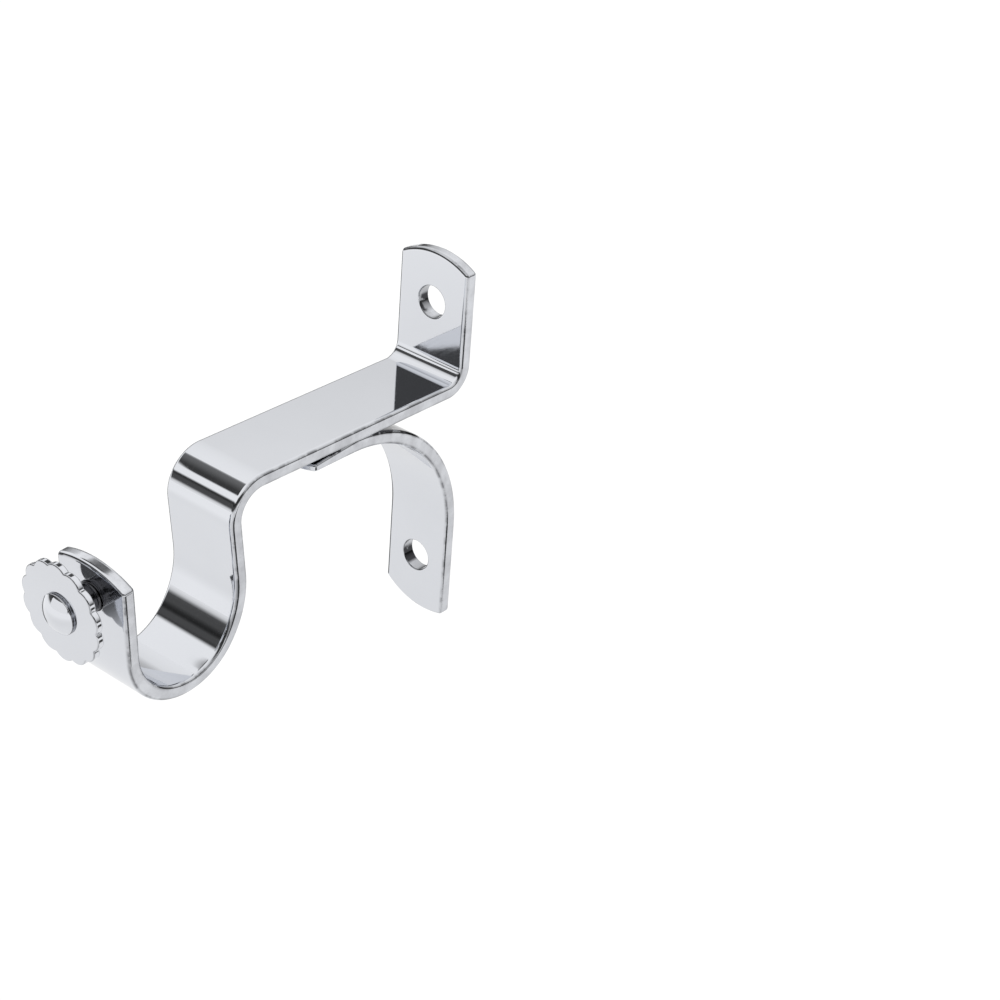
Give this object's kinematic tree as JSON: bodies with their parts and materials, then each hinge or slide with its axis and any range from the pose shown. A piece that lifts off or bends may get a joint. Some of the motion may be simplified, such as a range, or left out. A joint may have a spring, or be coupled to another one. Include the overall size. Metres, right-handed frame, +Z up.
{
  "type": "curtain pole bracket",
  "caption": "Wall bracket folded from chromed steel strip, with an open cup for a curtain pole, a welded curved brace and a scalloped thumb screw that clamps the pole.",
  "frame": {"origin": "on the wall plane, midway between the wall screw holes", "axes": "+X along the pole, +Y into the wall, +Z up"},
  "size_m": [0.0172, 0.0859, 0.0698],
  "materials": {
    "chromed_strip": "polished chrome plate on steel strip",
    "screw_steel": "chromed round head, dark threaded shank",
    "chromed_disc": "polished chrome plate on a stamped steel disc"
  },
  "bodies": {
    "bracket": {"arm_strip": "chromed_strip", "brace_strip": "chromed_strip"},
    "screw": {"clamp_screw": "screw_steel"},
    "disc": {"thumb_disc": "chromed_disc"}
  },
  "joints": [
    {"name": "screw_travel", "type": "slide", "parent": "bracket", "child": "screw", "axis": [0, 0.9972, 0.075], "range_m": [-0.0008, 0.0042]},
    {"name": "disc_turn", "type": "hinge", "parent": "screw", "child": "disc", "pos_m": [0, -0.08396, -0.0011], "axis": [0, 0.9972, 0.075], "range_deg": [-360, 1890]}
  ],
  "couplings": [
    {"joint": "screw_travel", "follows": "disc_turn", "m_per_rad": 0.00012732}
  ]
}
